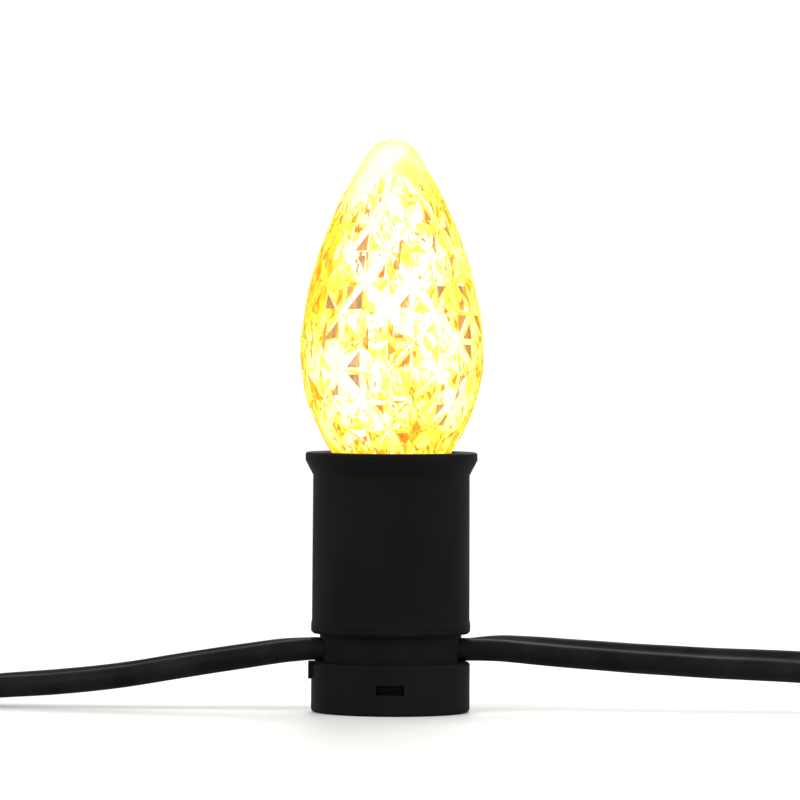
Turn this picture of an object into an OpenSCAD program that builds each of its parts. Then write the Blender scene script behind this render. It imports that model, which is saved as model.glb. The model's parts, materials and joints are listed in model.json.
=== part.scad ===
// Christmas light bulb: a faceted screw-in LED bulb seated in its clip-on cord socket,
// with a short flat cord to a slide-on plug on the left and a connector on the right.
// Millimetres, +Z up. The origin is the middle of the socket's flat end cap.

/* [Globe] */
// Widest diameter of the clear globe
globe_d = 32.4; // [28:0.2:38]
// Height of the globe above the collar
globe_h = 57; // [50:0.5:66]
// Height of the widest place above the collar
globe_belly_h = 19; // [17:0.5:22]
// Diameter of the globe where it leaves the collar
globe_root_d = 18.6; // [18.2:0.1:19.4]
// Wall of the globe
globe_wall = 1.6; // [1:0.1:2.2]
// Facet columns around the globe
facet_columns = 11; // [8:1:14]
// Half-diamond rows up the globe
facet_rows = 10; // [8:1:12]
// Turn of the facets about the bulb's axis, degrees
facet_turn = -18.9; // [-30:0.1:30]
// How far the middle of each diamond stands out of its flat
facet_crown = 0.3; // [0.1:0.05:0.5]
// Diameter at the foot of the smooth dome
dome_d = 11; // [10:0.2:12]
// Height of the smooth dome
dome_h = 4.5; // [4:0.1:5.2]
// Wall of the globe's neck
neck_wall = 1.4; // [1:0.1:1.6]
// Depth of the neck in the collar
neck_depth = 4.3; // [3.6:0.1:4.8]
// Diameter of the moulding nub on the tip
nub_d = 2.4; // [1.6:0.1:3]

/* [Bulb base] */
// Crest diameter of the bulb's screw thread
thread_d = 16.6; // [15.8:0.1:17.4]
// Pitch of the screw thread
thread_pitch = 2.822; // [2.6:0.05:3]
// Depth of the rolled thread
thread_depth = 0.7; // [0.5:0.05:0.9]
// Thickness of the rolled sheet brass
sheet_t = 0.3; // [0.25:0.05:0.4]
// Height of the bulb's screw shell
shell_h = 17; // [16:0.5:18]
// Height of the insulator below the screw shell
insulator_h = 2; // [1.6:0.1:2.6]
// Height of the tip contact
tip_h = 1.2; // [0.9:0.1:1.5]
// Diameter of the tip contact
tip_d = 5; // [4:0.2:6]
// Height of the plastic collar
collar_h = 5.9; // [5.4:0.1:6.6]
// Diameter of the plastic collar
collar_d = 18.2; // [18:0.1:18.6]
// Wall of the collar round the globe's neck
collar_wall = 0.9; // [0.7:0.1:1.1]
// Length of the collar's plug inside the screw shell
collar_plug_h = 3; // [2.4:0.2:3.6]
// Bore of the collar
collar_bore_d = 10.8; // [10:0.2:11.2]

/* [Light source] */
// Diameter of one domed lamp
led_d = 5; // [4.4:0.1:5.2]
// Height of one domed lamp
led_h = 8.6; // [7.6:0.1:9]
// Radius of the ring of lamps on the board
led_ring_r = 4.3; // [4.2:0.05:4.4]
// Outward tilt of the ring of lamps
led_tilt = 24; // [18:1:28]
// Height of the middle lamp's foot above the board
led_mid_rise = 11; // [10.5:0.5:14]
// Diameter of the round board
board_d = 12.6; // [12:0.1:12.8]
// Thickness of the board
board_t = 1; // [0.8:0.1:1.6]
// Diameter of the component leads
lead_d = 0.6; // [0.5:0.05:0.7]

/* [Socket] */
// Diameter of the socket barrel
barrel_d = 27.6; // [26.8:0.2:29]
// Diameter of the flared rim
rim_d = 30.1; // [29.8:0.1:32]
// Height of the rim's straight edge
rim_h = 1.4; // [1:0.1:2]
// Height of the chamfer below the rim
rim_chamfer_h = 2.6; // [2:0.1:3.4]
// Diameter of the mouth round the globe
mouth_d = 23; // [22.4:0.1:23.6]
// Depth of the mouth
mouth_depth = 4.5; // [4:0.1:5]
// Depth from the rim to the floor of the socket
socket_depth = 30; // [29.5:0.1:31]
// Thickness of the socket floor
floor_t = 2.5; // [2:0.1:3]
// Rise of the spring tongue under the tip contact
tongue_rise = 1.7; // [1.5:0.1:2]
// Width of the spring tongue
tongue_w = 4; // [3:0.2:5]
// Thickness of the spring tongue
tongue_t = 0.4; // [0.3:0.05:0.5]

/* [End cap] */
// Height of the clip-on end cap
cap_h = 8.75; // [8.2:0.05:9.6]
// Diameter of the end cap
cap_d = 27.8; // [27.2:0.1:28.4]
// Wall of the end cap
cap_wall = 1.3; // [1.1:0.1:1.5]
// Thickness of the end cap's floor
cap_floor_t = 2.6; // [2:0.1:3.2]
// Width of the snap hooks
hook_w = 4.4; // [3:0.2:6]
// Width of the release lip on the side of the end cap
lip_w = 5; // [3:0.5:7]

/* [Cord and ends] */
// Thickness of the flat two-wire cord
cord_t = 3.8; // [3.4:0.1:4]
// Width of the flat two-wire cord
cord_w = 7.6; // [7:0.1:7.8]
// Diameter of the piercing pins
pin_d = 1.1; // [0.9:0.1:1.3]
// Length of the plug and the connector
end_l = 26; // [24:0.5:32]
// Width of the plug and the connector
end_w = 24; // [22:0.5:28]
// Height of the plug and the connector
end_h = 11; // [10.6:0.1:13]
// Distance between the two blades
blade_gap = 12.7; // [12:0.1:13]
// Length of the blades outside the plug
blade_l = 16; // [14:0.5:18]
// Width of the blades
blade_w = 6.3; // [5.8:0.1:6.5]
// Thickness of the blades
blade_t = 1.5; // [1.3:0.1:1.6]

/* [Hidden] */
$fn = 64;

// Clearances: a snug fit, a sliding fit, and the play between the two rolled threads
fit = 0.05;
slide = 0.2;
thread_play = 0.3;
cut = 1;

// Heights, stacked up from the end cap
cord_z = cap_h + 0.35 + cord_t / 2;
slot_top = cord_z + cord_t / 2 + fit;
barrel_z = slot_top + 0.85;
floor_z = slot_top + floor_t;
tip_z = floor_z + tongue_rise + 2 * fit;
insulator_z = tip_z + tip_h;
shell_z = insulator_z + insulator_h;
collar_z = shell_z + shell_h;
globe_z = collar_z + collar_h;
board_z = globe_z + 0.4;
tip_top = globe_z + globe_h;
rim_z = floor_z + socket_depth;

// Thread radii, shared by the bulb's shell and the socket's shell
wave = thread_depth / 2;
bulb_mean_r = thread_d / 2 - wave;
bulb_inner_r = bulb_mean_r - wave - sheet_t;
socket_mean_r = bulb_mean_r + thread_play;
cavity_r = socket_mean_r + sheet_t + wave + slide;
entry_r = max(cavity_r, collar_d / 2 + slide) + 0.3;
wave_rows = 5;
wave_sides = 30;

// A point on a cubic curve through four control points, and the curve as a list
function bez(p, t) = pow(1 - t, 3) * p[0] + 3 * t * pow(1 - t, 2) * p[1]
    + 3 * t * t * (1 - t) * p[2] + t * t * t * p[3];
function bez_points(p, n) = [for (i = [0:n]) bez(p, i / n)];
// An arc of n chords round centre c
function arc(c, r, a, b, n) = [for (i = [0:n]) c + r * [cos(a + (b - a) * i / n), sin(a + (b - a) * i / n)]];
function mix(a, b, t) = a + (b - a) * t;
function smooth(t) = let (u = min(1, max(0, t))) u * u * (3 - 2 * u);
function flat_list(lists) = [for (l = lists) each l];
function unit(v) = v / norm(v);

// Outline of the globe as radius and height: root to belly, belly to shoulder, dome
belly = [globe_d / 2, globe_z + globe_belly_h];
root = [globe_root_d / 2, globe_z];
shoulder = [dome_d / 2, tip_top - dome_h];
crown_z = tip_top - 0.5;
root_curve = [root, root + [4, 5.9], belly - [0, 7], belly];
body_curve = [belly, belly + [0, 10.1], shoulder + [6.6, -10], shoulder];
dome_curve = [shoulder, shoulder + [-1.6, 2.7], [3.4, crown_z], [0, crown_z]];

// Radius of the outline at a height, found by halving the curve's parameter
function curve_t(p, z, lo = 0, hi = 1, n = 16) =
    n == 0 ? (lo + hi) / 2
    : let (m = (lo + hi) / 2) bez(p, m)[1] < z ? curve_t(p, z, m, hi, n - 1) : curve_t(p, z, lo, m, n - 1);
function globe_r(z) = z < belly[1] ? bez(root_curve, curve_t(root_curve, z))[0]
    : bez(body_curve, curve_t(body_curve, z))[0];

facet_z0 = globe_z + 1.2;
facet_z1 = tip_top - dome_h - 0.3;
function facet_z(k) = mix(facet_z0, facet_z1, k / facet_rows);
half_col = 180 / facet_columns;

// One ring of the diamond lattice: crossings on the outline, diamond middles crowned between
function facet_ring(k) = let (z = facet_z(k), r = globe_r(z), mid = r * cos(half_col) + facet_crown)
    [for (i = [0:2 * facet_columns - 1])
        let (a = i * half_col - 90 + facet_turn, q = (i + k) % 2 == 0 ? r : mid) [q * cos(a), q * sin(a), z]];

module faceted_skin() {
    n = 2 * facet_columns;
    points = flat_list([for (k = [0:facet_rows]) facet_ring(k)]);
    sides = [for (k = [0:facet_rows - 1], i = [0:n - 1])
        let (a = k * n + i, b = k * n + (i + 1) % n, c = a + n, d = b + n)
        each (i + k) % 2 == 0 ? [[a, c, d], [a, d, b]] : [[a, c, b], [b, c, d]]];
    bottom = [for (i = [0:n - 1]) i];
    top = [for (i = [n - 1:-1:0]) facet_rows * n + i];
    polyhedron(points = points, faces = concat([bottom, top], sides));
}

// The globe: a smooth neck and dome fused to the faceted skin, hollowed by a smooth inner face
neck_r = collar_d / 2 - collar_wall;
neck_z = globe_z - neck_depth;
sunk = cos(half_col);
function outline_part(p, z_a, z_b, n) = [for (i = [0:n]) let (z = mix(z_a, z_b, i / n)) [globe_r(z), z]];

module globe() {
    inner_neck_r = neck_r - fit - neck_wall;
    hollow = concat([[0, neck_z - cut], [inner_neck_r, neck_z - cut], [inner_neck_r, globe_z]],
        [for (p = bez_points(root_curve, 8)) if (p[1] > globe_z + 0.6) p - [globe_wall, 0]],
        [for (p = bez_points(body_curve, 12)) if (p[1] > belly[1]) p - [globe_wall, 0]],
        [[0, crown_z - globe_wall]]);
    foot = concat([[0, neck_z], [neck_r - fit, neck_z], [neck_r - fit, globe_z + fit],
        [globe_root_d / 2, globe_z + fit]],
        [[globe_r(facet_z0) * sunk, facet_z0], [globe_r(facet_z0) * sunk, facet_z0 + 0.5], [0, facet_z0 + 0.5]]);
    dome = concat([[0, facet_z1 - 0.5], [globe_r(facet_z1) * sunk, facet_z1 - 0.5],
        [globe_r(facet_z1) * sunk, facet_z1]],
        [for (p = bez_points(dome_curve, 10)) if (p[1] > facet_z1 + 0.2) p]);
    nub = concat([[0, crown_z - 1], [nub_d / 2, crown_z - 1]],
        arc([nub_d / 2 - 0.5, tip_top - 0.5], 0.5, 0, 90, 4), [[0, tip_top]]);
    color("#ffe27a") difference() {
        union() {
            faceted_skin();
            rotate_extrude() polygon(foot);
            rotate_extrude() polygon(dome);
            rotate_extrude() polygon(nub);
        }
        rotate_extrude() polygon(hollow);
    }
}

// The collar carries the globe's neck in a groove, the board on its inner tube, and plugs the screw shell
module base_collar() {
    groove_z = neck_z - fit;
    tube_r = neck_r - fit - neck_wall - slide;
    color("#e9e6da") rotate_extrude() polygon([
        [collar_bore_d / 2, shell_z + shell_h - collar_plug_h], [bulb_inner_r - fit, shell_z + shell_h - collar_plug_h],
        [bulb_inner_r - fit, collar_z], [collar_d / 2 - 0.3, collar_z], [collar_d / 2, collar_z + 0.3],
        [collar_d / 2, globe_z - 0.4], [collar_d / 2 - 0.4, globe_z], [neck_r, globe_z], [neck_r, groove_z],
        [tube_r, groove_z], [tube_r, board_z], [collar_bore_d / 2, board_z]]);
}

// A rolled sheet shell: rings of one sine thread, with a plain foot and a plain lip
// outline(u) gives the plain radius and threaded(u) the share of the thread at height share u
function wave_at(z, a) = wave * cos(360 * z / thread_pitch - a);
function ring_of(z, r, share) = [for (i = [0:wave_sides - 1]) let (a = 360 * i / wave_sides)
    (r + share * wave_at(z, a)) * [cos(a), sin(a), 0] + [0, 0, z]];

// rows is a list of [height, radius of the outer face, share of the thread]
module rolled_shell(rows) {
    m = len(rows);
    outer = [for (w = rows) each ring_of(w[0], w[1], w[2])];
    inner = [for (k = [m - 1:-1:0]) let (w = rows[k]) each ring_of(w[0], w[1] - sheet_t, w[2])];
    faces = [for (k = [0:2 * m - 1], i = [0:wave_sides - 1])
        let (up = (k + 1) % (2 * m), j = (i + 1) % wave_sides,
            a = k * wave_sides + i, b = k * wave_sides + j, c = up * wave_sides + i, d = up * wave_sides + j)
        each [[a, c, d], [a, d, b]]];
    polyhedron(points = concat(outer, inner), faces = faces);
}
function thread_share(z, lo, hi) = smooth((z - lo) / thread_pitch) * smooth((hi - z) / thread_pitch);
// side is -1 where the thread fades to its root, so that it runs in the mate, and 1 where it fades outwards
function thread_rows(lo, hi, r, side) = let (n = round((hi - lo) / thread_pitch * wave_rows))
    [for (i = [0:n]) let (z = mix(lo, hi, i / n), share = thread_share(z, lo, hi))
        [z, r + side * wave * (1 - share), share]];

// How far the shell's lower edge curls in over the insulator
curl = 0.95;
module base_screw_shell() {
    lo = shell_z + 1.1;
    hi = collar_z - 1.2;
    r = bulb_mean_r;
    color("#c9a257") rolled_shell(concat([[shell_z, r - curl, 0], [shell_z + 0.5, r - wave, 0]],
        thread_rows(lo, hi, r, -1), [[hi + 0.4, r - wave, 0], [collar_z - 0.4, r + wave, 0],
        [collar_z, r + wave, 0]]));
}

module base_insulator() {
    plug_r = bulb_mean_r - curl - sheet_t - fit;
    color("#2a2420") rotate_extrude() polygon([
        [lead_d / 2 + fit, insulator_z], [tip_d / 2 + 0.4, insulator_z], [bulb_mean_r - curl - 0.3, shell_z - 0.5],
        [bulb_mean_r - curl, shell_z], [plug_r, shell_z], [plug_r, shell_z + 1.5], [lead_d / 2 + fit, shell_z + 1.5]]);
}

module base_tip_contact() {
    r = tip_d / 2;
    top = insulator_z - fit;
    color("#b9bcc0") rotate_extrude() polygon(concat(
        [for (i = [0:8]) let (a = i * 90 / 8) [r * sin(a), tip_z + (tip_h - 0.4) * (1 - cos(a))]],
        [[r, top], [0, top]]));
}

// The board and its five domed lamps
board_top = board_z + board_t;
led_foot = 1.6;
led_pin_gap = 1.27;
module led_board() {
    color("#1f5c3a") difference() {
        translate([0, 0, board_z]) cylinder(d = board_d, h = board_t);
        translate([0, 0, board_z - cut]) cylinder(d = 1.2, h = board_t + 2 * cut);
    }
}

module led_lens() {
    r = led_d / 2;
    rotate_extrude() polygon(concat([[0, 0], [r + 0.3, 0], [r + 0.3, 1], [r, 1]],
        arc([0, led_h - r], r, 0, 90, 8)));
}

// A lamp standing in the ring at angle a, its two leads down to the board
module ring_led(a) {
    color("#fff4c2") rotate(a) {
        translate([led_ring_r, 0, board_top + led_foot]) rotate([0, led_tilt, 0]) led_lens();
        for (s = [-1, 1]) translate([led_ring_r, s * led_pin_gap, board_top])
            cylinder(d = lead_d - 0.1, h = led_foot + 0.3);
    }
}
module led_middle() {
    color("#fff4c2") rotate(45) {
        translate([0, 0, board_top + led_mid_rise]) led_lens();
        for (s = [-1, 1]) translate([s * led_pin_gap, 0, board_top])
            cylinder(d = lead_d - 0.1, h = led_mid_rise + 0.3);
    }
}
module led_front() { ring_led(-90); }
module led_right() { ring_led(0); }
module led_back() { ring_led(90); }
module led_left() { ring_led(180); }

// Components hang from the board by their leads, inside the screw shell and clear of it
part_top = collar_z - collar_plug_h - 1;
part_reach = bulb_inner_r - slide;
resistor_d = 2.4;
resistor_l = 6.3;
rectifier_w = 4.4;
rectifier_t = 2.6;
rectifier_l = 4.6;
capacitor_d = 4.4;
capacitor_l = 8;
module lead_to_board(x, y, z) {
    translate([x, y, z]) cylinder(d = lead_d, h = board_z - z);
}
module resistor() {
    r = resistor_d / 2;
    l = resistor_l;
    x = 3.1;
    y = 2.6;
    color("#c8a878") {
        translate([x, y, part_top - l]) rotate_extrude() polygon([[0, 0], [r - 0.3, 0], [r, 0.4], [r, 1.3],
            [r - 0.2, 1.7], [r - 0.2, l - 1.7], [r, l - 1.3], [r, l - 0.4], [r - 0.3, l], [0, l]]);
        lead_to_board(x, y, part_top - 0.3);
    }
}
module rectifier() {
    x = lead_d;
    lead_x = 0.8;
    lead_gap = 1.6;
    lead_y = rectifier_t / 2 + 0.4;
    bore_reach = collar_bore_d / 2 - slide - lead_d / 2;
    // As far out as both the screw shell and the collar's bore let it hang
    y = max(-sqrt(pow(part_reach, 2) - pow(x + rectifier_w, 2)),
        -lead_y - sqrt(pow(bore_reach, 2) - pow(x + lead_x + lead_gap, 2)));
    color("#26282b") {
        translate([x, y, part_top - rectifier_l]) linear_extrude(rectifier_l) square([rectifier_w, rectifier_t]);
        for (i = [0:1]) lead_to_board(x + lead_x + lead_gap * i, y + lead_y, part_top - 0.3);
    }
}
module capacitor() {
    r = capacitor_d / 2;
    l = capacitor_l;
    x = -3.1;
    y = 0.6;
    color("#3d4f8a") {
        translate([x, y, part_top - l]) rotate_extrude() polygon([[0, 0], [r - 0.3, 0], [r, 0.3], [r, l - 1.4],
            [r - 0.2, l - 1.1], [r, l - 0.8], [r, l - 0.2], [r - 0.2, l], [0, l]]);
        for (s = [-1, 1]) lead_to_board(x, y + s, part_top - 0.3);
    }
}
module shell_lead_wire() {
    y = -4.8;
    x = -1.2;
    z = part_top;
    reach = sqrt(pow(bulb_inner_r - fit, 2) - x * x) + y;
    color("#b5402f") {
        lead_to_board(x, y, z - lead_d / 2);
        translate([x, y, z]) rotate([90, 0, 0]) cylinder(d = lead_d, h = reach);
    }
}
module tip_lead_wire() {
    color("#d8d4c8") translate([0, 0, insulator_z + fit]) cylinder(d = lead_d, h = board_z - insulator_z - fit);
}

// The socket: a barrel with a flared rim, and two legs that straddle the cord and snap into the end cap
leg_r = cap_d / 2 - cap_wall - slide;
leg_z = cap_floor_t + 0.4;
slot_half = cord_w / 2 + slide;
hook_z = cap_h - 3.6;
pin_side = (cord_w - cord_t) / 2;
center_pin_x = -4.6;
shell_pin_x = 5.8;

module pin_place(x, side, z) {
    translate([x, side * pin_side, z]) children();
}

module socket_housing() {
    r = barrel_d / 2;
    under_rim = rim_z - rim_h - rim_chamfer_h;
    outline = concat(
        [[0, leg_z], [leg_r - 0.4, leg_z], [leg_r, leg_z + 0.4], [leg_r, barrel_z], [r - 0.2, barrel_z],
            [r + 0.15, barrel_z + 0.4], [r + 0.15, barrel_z + 1.6], [r, barrel_z + 2.4], [r - 0.1, under_rim]],
        [[rim_d / 2, rim_z - rim_h]], arc([rim_d / 2 - 0.4, rim_z - 0.4], 0.4, 0, 90, 4),
        arc([mouth_d / 2 + 0.4, rim_z - 0.4], 0.4, 90, 180, 4),
        [[mouth_d / 2, rim_z - mouth_depth], [entry_r + 0.3, rim_z - mouth_depth - 0.8],
            [entry_r, rim_z - mouth_depth - 1.4], [entry_r, collar_z], [cavity_r, collar_z - 0.6],
            [cavity_r, floor_z], [0, floor_z]]);
    hook = [[leg_r - 1, hook_z - 1.2], [leg_r, hook_z - 1.2], [leg_r + 0.8, hook_z], [leg_r - 1, hook_z]];
    color("#1b1c1d") difference() {
        union() {
            rotate_extrude() polygon(outline);
            for (s = [0, 180]) rotate(s) translate([-hook_w / 2, 0, 0]) rotate([90, 0, 90])
                linear_extrude(hook_w) polygon(hook);
        }
        translate([-barrel_d, -slot_half, 0]) cube([2 * barrel_d, 2 * slot_half, slot_top]);
        pin_place(center_pin_x, 1, slot_top - cut) cylinder(d = pin_d + 2 * fit, h = floor_t + 2 * cut);
        pin_place(shell_pin_x, -1, slot_top - cut) cylinder(d = pin_d + 2 * fit, h = floor_t + 2 * cut);
    }
}

module socket_screw_shell() {
    lo = floor_z + 4.2;
    hi = collar_z - 1.4;
    r = socket_mean_r + sheet_t;
    color("#c9a257") rolled_shell(concat([[floor_z, r + wave, 0], [lo - 1, r + wave, 0]],
        thread_rows(lo, hi, r, 1), [[hi + 1, r + wave, 0]]));
}

// The tongue lies on the floor under the head of its pin and rises to the bulb's tip
module center_contact_spring() {
    z = floor_z + tongue_t / 2;
    peak = floor_z + tongue_rise - tongue_t / 2;
    line = [[-6.8, z], [-2.6, z], [-0.9, peak], [0.9, peak], [2.8, mix(z, peak, 0.45)]];
    half = [0, tongue_t / 2];
    color("#d0aa62") difference() {
        translate([0, tongue_w / 2, 0]) rotate([90, 0, 0]) linear_extrude(tongue_w)
            polygon(concat([for (p = line) p - half], [for (i = [len(line) - 1:-1:0]) line[i] + half]));
        pin_place(center_pin_x, 1, floor_z - cut) cylinder(d = pin_d + 2 * fit, h = tongue_t + 2 * cut);
    }
}

// A piercing pin: head, shank through the socket floor, point in its own wire of the cord
module piercing_pin(head_z) {
    r = pin_d / 2;
    rotate_extrude() polygon([[0, cord_z - 1.3], [r, cord_z - 0.2], [r, head_z], [r + 0.6, head_z],
        [r + 0.6, head_z + 0.3], [r + 0.3, head_z + 0.5], [0, head_z + 0.5]]);
}
module center_pin() {
    color("#d8b56e") pin_place(center_pin_x, 1, 0) piercing_pin(floor_z + tongue_t);
}
module shell_pin() {
    foot_r = socket_mean_r + wave;
    reach = sqrt(foot_r * foot_r - pow(pin_side + 0.8, 2)) - slide;
    color("#d8b56e") {
        pin_place(shell_pin_x, -1, 0) piercing_pin(floor_z);
        translate([shell_pin_x, -pin_side - 0.8, floor_z]) cube([reach - shell_pin_x, 1.6, 0.4]);
    }
}

// The clip-on end cap: a cup with two windows for the hooks, a saddle under the cord and a release lip
module end_cap() {
    r = cap_d / 2;
    wall_r = r - cap_wall;
    saddle_half = cord_w / 2 - fit;
    color("#1b1c1d") difference() {
        union() {
            rotate_extrude() polygon(concat([[0, 0]], arc([r - 0.6, 0.6], 0.6, -90, 0, 4),
                [[r, cap_h - 0.3], [r - 0.3, cap_h], [wall_r + 0.2, cap_h], [wall_r, cap_h - 0.3],
                    [wall_r, cap_floor_t], [0, cap_floor_t]]));
            intersection() {
                translate([-cap_d, -saddle_half, 1])
                    cube([2 * cap_d, 2 * saddle_half, cord_z - cord_t / 2 - fit - 1]);
                cylinder(r = r - cap_wall / 2, h = 2 * cap_h);
            }
            translate([-r - 0.5, -lip_w / 2, cap_h - 2.9]) rotate([90, 0, 90]) linear_extrude(cap_wall)
                polygon([[0.4, 0], [lip_w - 0.4, 0], [lip_w, 0.4], [lip_w, 2.9], [0, 2.9], [0, 0.4]]);
        }
        for (s = [0, 180]) rotate(s)
            translate([-hook_w / 2 - slide, wall_r - 0.6, hook_z - 1.5]) cube([hook_w + 2 * slide, 3, 1.7]);
    }
}

// The stretch of cord held between the socket and its end cap, with the two holes that the pins pierce
clamp_x = cap_d / 2;
module cord_clamped() {
    color("#161616") difference() {
        translate([-clamp_x, 0, cord_z]) rotate([90, 0, 90]) linear_extrude(2 * clamp_x) union() {
            for (s = [-1, 1]) translate([s * pin_side, 0]) circle(d = cord_t);
            square([2 * pin_side, 0.76 * cord_t], center = true);
        }
        pin_place(center_pin_x, 1, cord_z - 1.4) cylinder(d = pin_d + 2 * fit, h = cord_t);
        pin_place(shell_pin_x, -1, cord_z - 1.4) cylinder(d = pin_d + 2 * fit, h = cord_t);
    }
}

// Routes of the free cord, point by point as it lies: x, y, height, twist of its flat section
end_z = 5.5;
left_y = 7.5;
right_y = -6;
left_far = -158;
right_far = 164;
left_route = [[-clamp_x, 0, cord_z, 0], [-19, 0, 10.6, 4], [-25, 0.3, 9.7, 6], [-31, 0.8, 8.75, 7],
    [-38, 1.8, 7.55, 8], [-45, 3, 6.3, 8], [-52, 4.2, 5.3, 8], [-60, 5.8, 4.45, 8], [-68, 7.5, 3.8, 6],
    [-77, 9.2, 3, 4], [-86, 10.4, 2.2, 1], [-95, 10.9, 1.9, 0], [-105, 11, 1.9, 0], [-115, 10.6, 1.9, 0],
    [-124, 9.8, 2.1, 0], [-132, 9, 2.9, 0], [-140, 8.2, 4.1, 0], [-148, 7.7, 5.1, 0],
    [left_far, left_y, end_z, 0], [left_far - 15, left_y, end_z, 0]];
right_route = [[clamp_x, 0, cord_z, 0], [19, 0, 11.2, 9], [25, 0, 10.85, 15], [31, -0.2, 10.4, 17],
    [37, -0.5, 10, 18], [43, -1, 9.6, 19], [49, -1.5, 9.3, 20], [56, -2.2, 8.95, 21], [64, -3.1, 8.7, 23],
    [72, -4.1, 8.4, 24], [80, -5.2, 7.8, 22], [88, -6.3, 6.9, 18], [96, -7.3, 5.7, 13], [104, -8, 4.4, 8],
    [112, -8.4, 3.1, 4], [121, -8.4, 2.1, 1], [130, -8, 2.0, 0], [138, -7.4, 2.8, 0], [146, -6.8, 4, 0],
    [154, -6.3, 5, 0], [right_far, right_y, end_z, 0], [right_far + 15, right_y, end_z, 0]];

// Corners of the flat section: two lobes and the web between them
function lobe(s) = [for (a = [-90:45:90]) [s * (pin_side + cord_t / 2 * cos(a)), s * cord_t / 2 * sin(a)]];
cord_section = concat(lobe(1), [[0, 0.38 * cord_t]], lobe(-1), [[0, -0.38 * cord_t]]);

function cord_ring(p, k) = let (m = len(p),
    along = k == 0 ? [sign(p[1][0] - p[0][0]), 0, 0]
        : unit([for (j = [0:2]) p[min(k + 1, m - 1)][j] - p[k - 1][j]]),
    flat_dir = unit(cross([0, 0, 1], along)), up = cross(along, flat_dir), w = p[k][3], t = w * sign(along[0]))
    [for (q = cord_section)
        [p[k][0], p[k][1], p[k][2]] + (q[0] * cos(t) - q[1] * sin(t)) * flat_dir
            + (q[0] * sin(t) + q[1] * cos(t)) * up];

module cord_tube(route) {
    n = len(cord_section);
    m = len(route);
    faces = [for (k = [0:m - 2], i = [0:n - 1])
        let (j = (i + 1) % n, a = k * n + i, b = k * n + j, c = a + n, d = b + n)
        each [[a, d, b], [a, c, d]]];
    color("#161616") polyhedron(points = flat_list([for (k = [0:m - 1]) cord_ring(route, k)]),
        faces = concat(faces, [[for (i = [0:n - 1]) i], [for (i = [n - 1:-1:0]) (m - 1) * n + i]]));
}
module cord_left() { cord_tube(left_route); }
module cord_right() { cord_tube(right_route); }

// The plug and the connector share one body: a rounded block with a channel for the cord from behind
// Their own frame: the cord comes in at x = 0 and the front face is at x = end_l
channel_l = 16;
contact_x = 7;
lid_z = end_z + blade_w / 2 + 2 * fit;
lid_t = end_h - lid_z;
channel_half = cord_w / 2 + slide;
module rounded_block(l, w, h, r) {
    linear_extrude(h) union() {
        translate([r, -w / 2]) square([l - 2 * r, w]);
        translate([0, -w / 2 + r]) square([l, w - 2 * r]);
        for (x = [r, l - r], s = [-1, 1]) translate([x, s * (w / 2 - r)]) circle(r = r, $fn = 32);
    }
}
module end_body() {
    difference() {
        rounded_block(end_l, end_w, lid_z - fit, 3);
        translate([-cut, -channel_half, end_z - cord_t / 2 - slide]) cube([channel_l + cut, 2 * channel_half, end_h]);
        children();
    }
}
module end_cover() {
    press_z = end_z + cord_t / 2 + fit;
    color("#1b1c1d") {
        translate([0, 0, lid_z]) rounded_block(end_l, end_w, lid_t, 3);
        translate([1, -channel_half + slide, press_z])
            cube([channel_l - 2, 2 * (channel_half - slide), lid_z - press_z + 0.2]);
        for (i = [0:4]) translate([6 + 3 * i, -end_w / 2 + 4, end_h]) cube([1.2, end_w - 8, 0.5]);
    }
}
module at_plug() {
    translate([left_far, left_y, 0]) rotate(180) children();
}
module at_connector() {
    translate([right_far, right_y, 0]) children();
}

// A blade or contact reaches in under the cord and pierces its own wire with a tooth
function side_gap(s) = s * (blade_gap / 2);
tooth_z = end_z - cord_t / 2 - slide;
module tooth_arm(s, x) {
    from = pin_side;
    to = blade_gap / 2;
    translate([x, s > 0 ? from - 0.6 : -to, tooth_z - 0.8]) cube([3, to - from + 0.6, 0.7]);
    translate([x + 1.5, s * from, tooth_z - 0.8]) cylinder(r1 = 0.6, r2 = 0.15, h = 2.8);
}
module arm_space(s, x) {
    from = pin_side - 0.6;
    to = blade_gap / 2 + blade_t;
    translate([x - fit, s > 0 ? from - fit : -to, tooth_z - 0.8 - fit]) cube([3 + 2 * fit, to - from + fit, 3]);
}
module blade(s) {
    root = end_l - contact_x;
    r = 1.6;
    color("#c8a55a") {
        translate([contact_x, side_gap(s) + blade_t / 2, end_z - blade_w / 2]) rotate([90, 0, 0])
            linear_extrude(blade_t) difference() {
                union() {
                    square([root + blade_l - r, blade_w]);
                    translate([0, r]) square([root + blade_l, blade_w - 2 * r]);
                    for (z = [r, blade_w - r]) translate([root + blade_l - r, z]) circle(r = r);
                }
                translate([root + blade_l - 4.4, blade_w / 2]) circle(d = 3.1);
            }
        tooth_arm(s, contact_x + 1);
    }
}
module blade_space(s) {
    translate([contact_x - fit, side_gap(s) - blade_t / 2 - fit, end_z - blade_w / 2 - fit])
        cube([end_l, blade_t + 2 * fit, end_h]);
}
module plug_body() {
    color("#1b1c1d") at_plug() end_body() {
        for (s = [-1, 1]) {
            blade_space(s);
            arm_space(s, contact_x + 1);
        }
    }
}
module plug_cover() { at_plug() end_cover(); }
module plug_blade_near() { at_plug() blade(1); }
module plug_blade_far() { at_plug() blade(-1); }

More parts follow.
